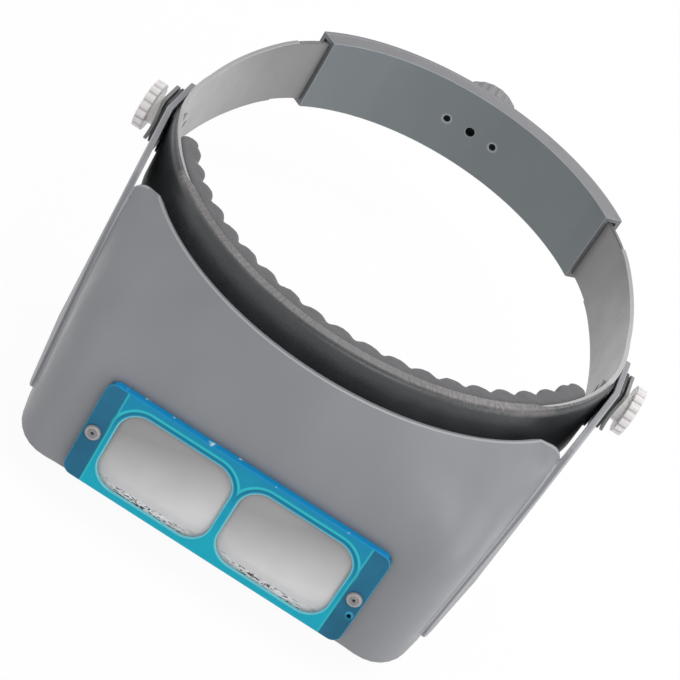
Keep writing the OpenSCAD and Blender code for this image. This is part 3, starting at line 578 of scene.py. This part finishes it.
def stud_finish(tones, sizes):
    """Dull nickel disc with a pressed ring and a dark middle."""
    made, tree, shader, coords = new_finish("dull_nickel", Metallic=0.25,
                                            Specular_IOR_Level=0.3)
    across, up = plate_coords(tree, coords, sizes)[2:]
    reach = line_length(tree, calc(tree, "SUBTRACT", across, sizes.stud_place / MM),
                        calc(tree, "ADD", up, sizes.stud_drop / MM))
    scuffs = noise_at(tree, coords, 1300, 4)
    base = mottled(tree, scuffs, tones.nickel_low, tones.nickel_high)
    base = blend_colour(tree, line_at(tree, reach, 2.05, 0.3), base, tones.stud_ring)
    base = blend_colour(tree, ramp(tree, reach, 0.35, 0.5, 1, 0), base, tones.stud_middle)
    set_base(tree, shader, base, ramp(tree, scuffs, 0.3, 0.7, 0.45, 0.6))
    return made


def clear_finish(tones):
    """Clear moulded plastic, milky and mottled, with painted shade in the grooves between its
    lobes.
    """
    made, tree, shader, coords = new_finish("clear_plastic", IOR=1.4,
                                            Transmission_Weight=0.2,
                                            Specular_IOR_Level=0.4)
    cloud = noise_at(tree, coords, 300, 4)
    base = mottled(tree, cloud, tones.clear_low, tones.clear_high)
    split = add(tree, "SeparateXYZ", {0: coords}).outputs
    turn = calc(tree, "ARCTAN2", split["Y"], split["Z"])
    wave = calc(tree, "COSINE", times(tree, turn, KNOB_LOBES))
    reach = line_length(tree, split["Y"], split["Z"])
    grooves = times(tree, ramp(tree, wave, -1, -0.45, 1, 0),
                    ramp(tree, reach, 6 * MM, 7.2 * MM, 0, 1))
    # Painted shade in the grooves
    base = blend_colour(tree, times(tree, grooves, 0.8), base, tones.groove_shade)
    set_base(tree, shader, base, ramp(tree, cloud, 0.3, 0.7, 0.16, 0.3))
    return made


def metal_finish(name, code, rough):
    """Turned or stamped steel with fine tool marks."""
    made, tree, shader, coords = new_finish(name, Metallic=1.0)
    marks = noise_at(tree, coords, 1800, 4, (1, 0.15, 1))
    base = mottled(tree, marks, shade(linear(code), 0.85), linear(code))
    set_base(tree, shader, base, ramp(tree, marks, 0.3, 0.7, rough - 0.06, rough + 0.08))
    set_bump(tree, shader, marks, 0.4, 0.02 * MM)
    return made


# Making pieces

def in_scene(name, data):
    """A new object in the open scene."""
    made = bpy.data.objects.new(name, data)
    bpy.context.scene.collection.objects.link(made)
    return made


def smooth_all(mesh):
    """Shades a mesh smooth."""
    for face in mesh.polygons:
        face.use_smooth = True


def place(bm, name, body, finish, replaces=()):
    """Turns a bmesh into a piece that rides a body."""
    mesh = bpy.data.meshes.new(name)
    bm.normal_update()
    bm.to_mesh(mesh)
    bm.free()
    piece = in_scene(name, mesh)
    mesh.materials.append(finish)
    smooth_all(mesh)
    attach(piece, body)
    if replaces:
        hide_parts(*replaces)
    return piece


def apply_modifiers(piece):
    """Replaces a piece's mesh with what its modifiers make of it."""
    graph = bpy.context.evaluated_depsgraph_get()
    made = bpy.data.meshes.new_from_object(piece.evaluated_get(graph))
    piece.modifiers.clear()
    piece.data = made


def merged_copy(node, weld=CAD_WELD):
    """A copy of a CAD node's mesh with its doubled corners merged."""
    bm = bmesh.new()
    bm.from_mesh(NODES[node].data)
    bmesh.ops.remove_doubles(bm, verts=bm.verts, dist=weld)
    bmesh.ops.dissolve_degenerate(bm, dist=1e-6, edges=bm.edges)
    return bm


def eased(node, name, finish, ease, segments=2, angle=34, rounds=(), pick=None,
          weld=CAD_WELD):
    """A copy of a rigid node with its sharp moulded edges eased, and marked for wear and a
    painted highlight.
    """
    bm = merged_copy(node, weld)
    rubbed_and_lit = bm.faces.layers.float.new("rubbed_and_lit_edge")
    edges = [e for e in bm.edges if e.is_manifold
             and e.calc_face_angle() > radians(angle) and (pick is None or pick(e))]
    made = bmesh.ops.bevel(bm, geom=edges, affect="EDGES", offset=ease, segments=segments,
                           profile=0.5, material=-1, clamp_overlap=False, loop_slide=False)
    for face in made["faces"]:
        face[rubbed_and_lit] = 1
    piece = place(bm, name, NODES[node]["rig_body"], finish, [node])
    weigh = piece.modifiers.new("faces", "WEIGHTED_NORMAL")
    weigh.mode = "FACE_AREA"
    weigh.weight = 50
    weigh.keep_sharp = True
    if rounds:
        apply_modifiers(piece)
        true_normals(piece, rounds)
    return piece


def true_normals(piece, rounds):
    """Gives the corners that lie on a round face, or on a flat top, its own direction."""
    near_top, near_round, facing = 0.01 * MM, 0.04 * MM, 0.3
    mesh = piece.data
    top = max(abs(v.co.z) for v in mesh.vertices)
    normals = [corner.vector.copy() for corner in mesh.corner_normals]
    for face in mesh.polygons:
        for corner in face.loop_indices:
            spot = mesh.vertices[mesh.loops[corner].vertex_index].co
            if abs(spot.z) > top - near_top and abs(face.normal.z) > facing:
                normals[corner] = Vector((0, 0, 1 if spot.z > 0 else -1))
                continue
            total = Vector()
            for centre, radius, upright in rounds:
                off = spot - Vector(centre)
                if upright:
                    off.z = 0
                away = off.normalized()
                share = away.dot(face.normal)
                if abs(off.length - radius) < near_round and abs(share) > facing:
                    total += away if share > 0 else -away
            if total.length:
                normals[corner] = total.normalized()
    mesh.normals_split_custom_set(normals)


def dress(node, finish):
    """Gives a CAD node that stays its finish, shaded smooth between sharp edges."""
    data = NODES[node].data
    data.materials.clear()
    data.materials.append(finish)
    data.shade_smooth()
    data.set_sharp_from_angle(angle=radians(32))


def sides(stem):
    """Names of the left and right node of a pair."""
    return stem + "_left", stem + "_right"


# Visor

class BuildHood(bpy.types.Operator):
    """Moulded hood with its two arms"""
    bl_idname = "magnifier.hood"
    bl_label = "Visor hood"

    def execute(self, context):
        tones, sizes = chosen(context)
        finish = moulded("hood_plastic", tones.hood, grain=2600)
        piece = eased("visor_hood", "hood_moulding", finish, 1.3 * sizes.edge_ease,
                      angle=36)
        # The arms' front and rear edges get no painted highlight and no wear
        marks = piece.data.attributes["rubbed_and_lit_edge"].data
        arms = 84 * MM
        for face in piece.data.polygons:
            if abs(face.center.x) > arms and abs(face.normal.y) > 0.3:
                marks[face.index].value = 0
        return {"FINISHED"}


class BuildPlate(bpy.types.Operator):
    """Tinted lens plate with its block, windows and ears"""
    bl_idname = "magnifier.plate"
    bl_label = "Lens plate"

    def execute(self, context):
        tones, sizes = chosen(context)
        eased("lens_frame", "tinted_plate", tinted_finish(tones, sizes),
              1.2 * sizes.edge_ease, segments=3)
        return {"FINISHED"}


class BuildGlasses(bpy.types.Operator):
    """The two magnifying glasses"""
    bl_idname = "magnifier.glasses"
    bl_label = "Glasses"

    def execute(self, context):
        tones, sizes = chosen(context)
        finish = glass_finish(tones, sizes)
        turn, shift = plate_space(sizes)
        back = turn.transposed()
        for side, node in zip((1, -1), sides("lens")):
            bm = merged_copy(node)
            depth = [(turn @ v.co + shift).y for v in bm.verts]
            crowns = min(depth) + sizes.glass_radius, max(depth) - sizes.glass_radius
            rounds = []
            for deep in crowns:
                spot = Vector((side * sizes.window_place, deep, -sizes.window_middle))
                rounds.append((back @ (spot - shift), sizes.glass_radius, False))
            piece = place(bm, node.replace("lens", "glass"), "visor", finish, [node])
            true_normals(piece, rounds)
        return {"FINISHED"}


class BuildStuds(bpy.types.Operator):
    """Snap studs, their washers and the screws"""
    bl_idname = "magnifier.studs"
    bl_label = "Studs and screws"

    def execute(self, context):
        steel = metal_finish("satin_steel", "b4b2b4", 0.34)
        dull = stud_finish(*chosen(context))
        dark = metal_finish("black_oxide", "26282a", 0.5)
        looks = {dull: sides("stud"), steel: ("stud_clips", "detent_spring"),
                 dark: ("housing_screws", "axle_screw")}
        for finish, nodes in looks.items():
            for node in nodes:
                dress(node, finish)
        return {"FINISHED"}


# Leather cover and pad

def cover_levels(sizes):
    """The cover's inner and front radius, then its lower and upper level."""
    half = sizes.strip_height / 2
    return (sizes.strip_radius + 0.07 * MM, sizes.strip_radius + sizes.cover_fullness,
            half + 0.05 * MM, half + 1.15 * MM)


def cover_outline(sizes):
    """The cover's section across the strip, as radius and height."""
    strip, front, low, high = cover_levels(sizes)
    flap = sizes.strip_radius - sizes.strip_thickness - sizes.flap_depth
    fold = sizes.fold_radius
    turned = 0.5 * MM
    half = [(flap, low), (flap, high - turned), (flap + 0.15 * MM, high - 0.15 * MM),
            (flap + turned, high)]
    reach = front - fold - flap - turned
    half += [(flap + turned + reach * i / 10, high) for i in range(1, 11)]
    half += [(front - fold + fold * sin(a), high - fold + fold * cos(a))
             for a in (radians(15 * i) for i in range(1, 7))]
    drop = high - fold
    half += [(front, drop * (1 - i / 8)) for i in range(1, 8)]
    outline = half + [(front, 0)] + [(r, -z) for r, z in reversed(half)]
    return outline + [(strip, -low), (strip, low)]


def spun_cover(centre, outline):
    """The outline spun about the strip's centre from end to end of the cover."""
    bm = bmesh.new()
    ring = [bm.verts.new(centre + Vector((0, -r, z))) for r, z in outline]
    edges = [bm.edges.new((a, b)) for a, b in zip(ring, ring[1:] + ring[:1])]
    turn = Matrix.Rotation(-COVER_HALF, 3, "Z")
    bmesh.ops.rotate(bm, verts=bm.verts, cent=centre, matrix=turn)
    bmesh.ops.spin(bm, geom=bm.verts[:] + edges, cent=centre, axis=(0, 0, 1),
                   angle=2 * COVER_HALF, steps=620, use_merge=False)
    bmesh.ops.holes_fill(bm, edges=[e for e in bm.edges if e.is_boundary])
    bmesh.ops.recalc_face_normals(bm, faces=bm.faces)
    return bm


def drawn_in(phi, r, strip, front):
    """A point's radius with the front on its own circle and the ends drawn in."""
    aside, end_round, flap_fade = 0.3 * MM, radians(1.6), radians(5)
    if r > strip + aside:
        wall = (COVER_AHEAD * cos(phi)
                + sqrt(COVER_RADIUS ** 2 - (COVER_AHEAD * sin(phi)) ** 2))
        end = min(1, (COVER_HALF - abs(phi)) / end_round)
        wall = strip + (wall - strip) * sqrt(max(0, 1 - (1 - end) ** 2))
        return strip + (wall - strip) * (r - strip) / (front - strip)
    if r < strip - aside:
        short = min(1, max(0, (FLAP_HALF - abs(phi)) / flap_fade))
        short = short * short * (3 - 2 * short)
        return strip - (strip - r) * (0.03 + 0.97 * short)
    return r


def pleated(phi, r, z):
    """A point's height with the pleats and ripple of the gathered leather."""
    side = 1 if z > 0 else -1
    gather = 0.5 + 1.4 * noise.noise(Vector((phi * 3.1, side, 1.7)))
    gather = min(1, max(0.2, gather))
    pleat = noise.noise(Vector((phi * 75, r / MM * 0.12, 5 * side)))
    ripple = noise.noise(Vector((phi * 170, r / MM * 0.35, 9 * side)))
    return z + side * MM * (gather * (0.2 * pleat + 0.12 * ripple) - 0.05)


class BuildLeather(bpy.types.Operator):
    """Folded leather cover over the forehead strip"""
    bl_idname = "magnifier.leather"
    bl_label = "Leather cover"

    def execute(self, context):
        tones, sizes = chosen(context)
        strip, front, low, high = cover_levels(sizes)
        pleats_from, swell_from, swell_half = low + 0.5 * MM, strip + 1.2 * MM, radians(74)
        centre = Vector((0, sizes.strip_set_back, 0))
        bm = spun_cover(centre, cover_outline(sizes))
        for v in bm.verts:
            off = v.co - centre
            phi = Vector((0, -1)).angle_signed(off.xy)
            r = drawn_in(phi, off.xy.length, strip, front)
            z = off.z
            if abs(z) > pleats_from:
                z = pleated(phi, r, z)
            if r > swell_from and abs(phi) < swell_half:
                swell = noise.noise(Vector((phi * 9, z / MM * 0.08, 2)))
                r += 0.25 * MM * (1 - (z / high) ** 2) - 0.12 * MM + 0.12 * MM * swell
            v.co = centre + Vector((sin(phi) * r, -cos(phi) * r, z))
        piece = place(bm, "leather_wrap", "headband",
                      leather_finish(tones.leather, tones.rubbed_and_lit, sizes), ["leather_cover"])
        return {"FINISHED"}


class BuildPad(bpy.types.Operator):
    """Scalloped foam sweat pad"""
    bl_idname = "magnifier.pad"
    bl_label = "Sweat pad"

    def execute(self, context):
        finish = foam_finish(context.scene.magnifier_colours.foam)
        piece = place(merged_copy("sweat_pad"), "scalloped_foam", "headband", finish,
                      ["sweat_pad"])
        remesh = piece.modifiers.new("cells", "REMESH")
        remesh.mode = "VOXEL"
        remesh.voxel_size = 0.6 * MM
        remesh.use_smooth_shade = True
        apply_modifiers(piece)
        bm = bmesh.new()
        bm.from_mesh(piece.data)
        for _ in range(6):
            bmesh.ops.smooth_vert(bm, verts=bm.verts, factor=0.5, use_axis_x=True,
                                  use_axis_y=True, use_axis_z=True)
        for v in bm.verts:
            v.co += v.normal * MM * (0.1 + 0.09 * noise.noise(v.co * 330)
                                     + 0.05 * noise.noise(v.co * 900))
        bm.to_mesh(piece.data)
        bm.free()
        smooth_all(piece.data)
        return {"FINISHED"}


# Strips and rear housing

def side_arc(sizes):
    """Centre of the strip's left flatter side, and the angles of its two ends."""
    behind = sizes.join_back - sizes.strip_set_back
    join = Vector((sqrt(sizes.strip_radius ** 2 - behind ** 2), sizes.join_back))
    off = join - Vector((0, sizes.housing_back))
    apart = sizes.side_radius - sizes.strap_radius
    fold = acos((apart ** 2 + off.length_squared - sizes.side_radius ** 2)
                / (2 * apart * off.length))
    last = pi + atan2(off.y, off.x) - fold
    centre = Vector((-apart * cos(last), sizes.housing_back - apart * sin(last), 0))
    return centre, atan2(join.y - centre.y, join.x - centre.x), last


def band_rounds(sizes):
    """The round faces of the strip and straps, as centre, radius and upright."""
    left = side_arc(sizes)[0]
    middles = ((Vector((0, sizes.strip_set_back, 0)), sizes.strip_radius),
               (left, sizes.side_radius), (left * Vector((-1, 1, 1)), sizes.side_radius),
               (Vector((0, sizes.housing_back, 0)), sizes.strap_radius))
    return [(c, r - t, True) for c, r in middles for t in (0, sizes.strip_thickness)]


def live_hinge(name, spot, sizes, finish):
    """Upright round piece that hides the line between the strip and a strap."""
    bm = bmesh.new()
    radius = sizes.strip_thickness / 2
    bmesh.ops.create_cone(bm, cap_ends=True, segments=32, radius1=radius, radius2=radius,
                          depth=sizes.strip_height - 0.1 * MM,
                          matrix=Matrix.Translation(spot))
    rims = [e for e in bm.edges if e.calc_face_angle() > radians(60)]
    bmesh.ops.bevel(bm, geom=rims, affect="EDGES", offset=0.8 * sizes.edge_ease,
                    segments=2, profile=0.5, material=-1, clamp_overlap=True)
    place(bm, name, "headband", finish)


class BuildStrips(bpy.types.Operator):
    """Front strip, the two rear straps and the live hinges between them"""
    bl_idname = "magnifier.strips"
    bl_label = "Headband strips"

    def execute(self, context):
        tones, sizes = chosen(context)
        finish = moulded("strip_plastic", tones.strip, rough=0.36, grain=2200,
                         tint=strip_tint(tones))
        rounds = band_rounds(sizes)
        rim = sizes.strip_height / 2 - 0.01 * MM
        for node, name, weld in (("front_band", "front_strip", FRONT_WELD),
                                 ("strap_left", "rear_strap_left", CAD_WELD),
                                 ("strap_right", "rear_strap_right", CAD_WELD)):
            eased(node, name, finish, 0.8 * sizes.edge_ease, angle=50, rounds=rounds,
                  pick=lambda e: all(abs(v.co.z) > rim for v in e.verts), weld=weld)
        centre, first, last = side_arc(sizes)
        split = first + SPLIT_SHARE * (last - first)
        middle = sizes.side_radius - sizes.strip_thickness / 2
        spot = centre + middle * Vector((cos(split), sin(split), 0))
        for name, side in (("left", 1), ("right", -1)):
            live_hinge(f"live_hinge_{name}", (side * spot.x, spot.y, 0), sizes, finish)
        return {"FINISHED"}


class BuildHousing(bpy.types.Operator):
    """Curved rear housing, its gear and its knob"""
    bl_idname = "magnifier.housing"
    bl_label = "Rear housing"

    def execute(self, context):
        tones, sizes = chosen(context)
        finish = moulded("housing_plastic", tones.housing, rough=0.44, grain=2300,
                         tint=housing_tint(tones, sizes))
        inner = Vector((0, sizes.housing_back, 0))
        outer = inner + Vector((0, sizes.housing_taper, 0))
        wall = sizes.housing_wall
        rounds = [(inner, sizes.housing_radius + t, True) for t in (0, wall)]
        rounds += [(outer, sizes.housing_outer - t, True) for t in (0, wall)]
        for node in ("housing_shell", "housing_cover"):
            eased(node, node + "_moulding", finish, 0.8 * sizes.edge_ease,
                  rounds=rounds)
        fluted = moulded("knob_plastic", tones.knob, 0.5, edge_rub_and_light=0.35)
        eased("adjuster_knob", "size_knob", fluted, sizes.edge_ease, angle=40)
        gear = moulded("gear_nylon", linear("dcdcd8"), 0.38, vary=0.02)
        dress("pinion", gear)
        return {"FINISHED"}


# Temple pivots

def fuller_bracket(piece):
    """Lets a bracket fill the space between strip and arm, as a bar along the arm."""
    taller, longer, front = 1.28, 6.5 * MM, -5 * MM
    inner, outer, between = 88.45 * MM, 87.9 * MM, 88.3 * MM
    centre = 3.9 * MM
    for v in piece.data.vertices:
        v.co.z *= taller
        if v.co.y < front:
            v.co.y -= longer
            side = 1 if v.co.x > 0 else -1
            beside_strip = sqrt(inner ** 2 - (v.co.y - centre) ** 2)
            v.co.x = side * (beside_strip if abs(v.co.x) < between else outer)


class BuildTemples(bpy.types.Operator):
    """Brackets, bushes, plates and clear knobs of the temple pivots"""
    bl_idname = "magnifier.temples"
    bl_label = "Temple pivots"

    def execute(self, context):
        tones, sizes = chosen(context)
        ease = sizes.edge_ease
        looks = {
            "temple_bracket": ("bracket", "black",
                               moulded("black_plastic", tones.black, 0.36), ease),
            "pivot_insert": ("bush", "insert",
                             moulded("bush_plastic", linear("a3a2a3"), 0.4), 0.5 * ease),
            "friction_plate": ("friction_washer", "washer",
                               moulded("washer_plastic", tones.washer, 0.5), 0.5 * ease),
            "pressure_plate": ("bowed_plate", "plate",
                               moulded("plate_plastic", tones.pressure, 0.34), 0.6 * ease),
            "pivot_knob": ("clear_knob", "clear", clear_finish(tones), 0.9 * ease),
        }
        for stem, (name, slot, finish, width) in looks.items():
            for side, node in zip(("left", "right"), sides(stem)):
                piece = eased(node, f"{name}_{side}", finish, width)
                if stem == "temple_bracket":
                    fuller_bracket(piece)
        return {"FINISHED"}


# Stage

def camera_pose():
    """Place and turn of the photograph's camera."""
    ahead = Vector((0, cos(CAMERA_LIFT), -sin(CAMERA_LIFT)))
    up = Vector((0, sin(CAMERA_LIFT), cos(CAMERA_LIFT)))
    across = Vector((1, 0, 0))
    spot = Vector((CAMERA_ASIDE, 0, 0)) - CAMERA_DISTANCE * ahead - CAMERA_DROP * up
    right = cos(CAMERA_ROLL) * across + sin(CAMERA_ROLL) * up
    top = -sin(CAMERA_ROLL) * across + cos(CAMERA_ROLL) * up
    turn = Matrix((right, top, -ahead)).transposed()
    return Matrix.Translation(spot) @ turn.to_4x4()


def set_camera(scene):
    """Sets up the photograph's camera."""
    data = bpy.data.cameras.new("photo_camera")
    data.lens = PHOTO_FOCUS / PHOTO_SIDE * FILM_WIDTH
    data.sensor_width = FILM_WIDTH
    data.clip_start = 0.01
    camera = in_scene("photo_camera", data)
    camera.matrix_world = camera_pose()
    scene.camera = camera


def soft_lamp(name, spot, width, power, aim=(0, 0, 0)):
    """A round white lamp that shines from its spot to its aim."""
    data = bpy.data.lights.new(name, "AREA")
    data.shape = "DISK"
    data.size = width
    data.energy = power
    lamp = in_scene(name, data)
    lamp.location = spot
    lamp.rotation_euler = (Vector(aim) - Vector(spot)).to_track_quat("-Z", "Y").to_euler()


def plainly_seen(tree):
    """1 where the camera, a gloss or a glass looks at the background, 0 for its light."""
    path = add(tree, "LightPath").outputs
    return calc(tree, "MAXIMUM", path["Is Camera Ray"], calc(
        tree, "MAXIMUM", path["Is Glossy Ray"], path["Is Transmission Ray"]))


def lay_floor():
    """White paper that looks almost as bright as the sky."""
    bm = bmesh.new()
    bmesh.ops.create_grid(bm, x_segments=8, y_segments=8, size=6)
    bmesh.ops.translate(bm, verts=bm.verts, vec=(0, 0, -FLOOR_DROP))
    mesh = bpy.data.meshes.new("floor")
    bm.to_mesh(mesh)
    bm.free()
    floor = in_scene("floor", mesh)
    paper, tree, shader, coords = new_finish("white_paper", Roughness=0.9,
                                             Specular_IOR_Level=0.1)
    fibre = noise_at(tree, coords, 300, 4)
    tree.links.new(blend_colour(tree, fibre, linear("f6f6f6"), linear("ffffff")),
                   shader.inputs["Base Color"])
    glow = add(tree, "Emission", {"Color": (1, 1, 1, 1), "Strength": 1.0})
    share = times(tree, plainly_seen(tree), FLOOR_GLOW)
    mixer = add(tree, "MixShader", {0: share, 1: shader.outputs[0], 2: glow.outputs[0]})
    tree.links.new(mixer.outputs[0], tree.nodes["Material Output"].inputs["Surface"])
    mesh.materials.append(paper)


def light_sky(scene):
    """White sky that is dimmer as a light than as a background."""
    world = bpy.data.worlds.new("studio")
    scene.world = world
    world.use_nodes = True
    sky = world.node_tree
    back = sky.nodes["Background"]
    back.inputs["Color"].default_value = (1, 1, 1, 1)
    sky.links.new(ramp(sky, plainly_seen(sky), 0, 1, SKY_LIGHT, 1), back.inputs["Strength"])


class BuildStage(bpy.types.Operator):
    """Pale floor, soft lamps and the camera"""
    bl_idname = "magnifier.stage"
    bl_label = "Stage"

    def execute(self, context):
        scene = context.scene
        lay_floor()
        light_sky(scene)
        soft_lamp("key", (0.5, -0.8, 1.5), 0.9, 9, (0, -0.02, 0))
        soft_lamp("side", (1.4, -0.3, 0.5), 1.1, 6)
        soft_lamp("rear", (0.2, 1.3, 1.1), 0.9, 5)
        set_camera(scene)
        scene.view_settings.view_transform = "Standard"
        return {"FINISHED"}


BUILDERS = (BuildHood, BuildPlate, BuildGlasses, BuildStuds, BuildLeather, BuildPad,
            BuildStrips, BuildHousing, BuildTemples, BuildStage)


class MagnifierPanel(bpy.types.Panel):
    """Buttons for the magnifier's pieces"""
    bl_idname = "VIEW3D_PT_magnifier"
    bl_label = "Headband magnifier"
    bl_space_type = "VIEW_3D"
    bl_region_type = "UI"
    bl_category = "Magnifier"

    def draw(self, context):
        column = self.layout.column()
        for builder in BUILDERS:
            column.operator(builder.bl_idname)
        for group in reversed(chosen(context)):
            for key in group.bl_rna.properties.keys():
                if key not in ("rna_type", "name"):
                    column.prop(group, key)


CLASSES = (MagnifierSizes, MagnifierColours, *BUILDERS, MagnifierPanel)


def register():
    """Registers the classes and the two groups of values."""
    for item in CLASSES:
        bpy.utils.register_class(item)
    bpy.types.Scene.magnifier_sizes = PointerProperty(type=MagnifierSizes)
    bpy.types.Scene.magnifier_colours = PointerProperty(type=MagnifierColours)


def unregister():
    """Takes back what register did."""
    del bpy.types.Scene.magnifier_colours
    del bpy.types.Scene.magnifier_sizes
    for item in reversed(CLASSES):
        bpy.utils.unregister_class(item)


def main():
    """Builds every piece and the stage."""
    register()
    for builder in BUILDERS:
        group, name = builder.bl_idname.split(".")
        getattr(getattr(bpy.ops, group), name)()


if __name__ == "__main__":
    main()
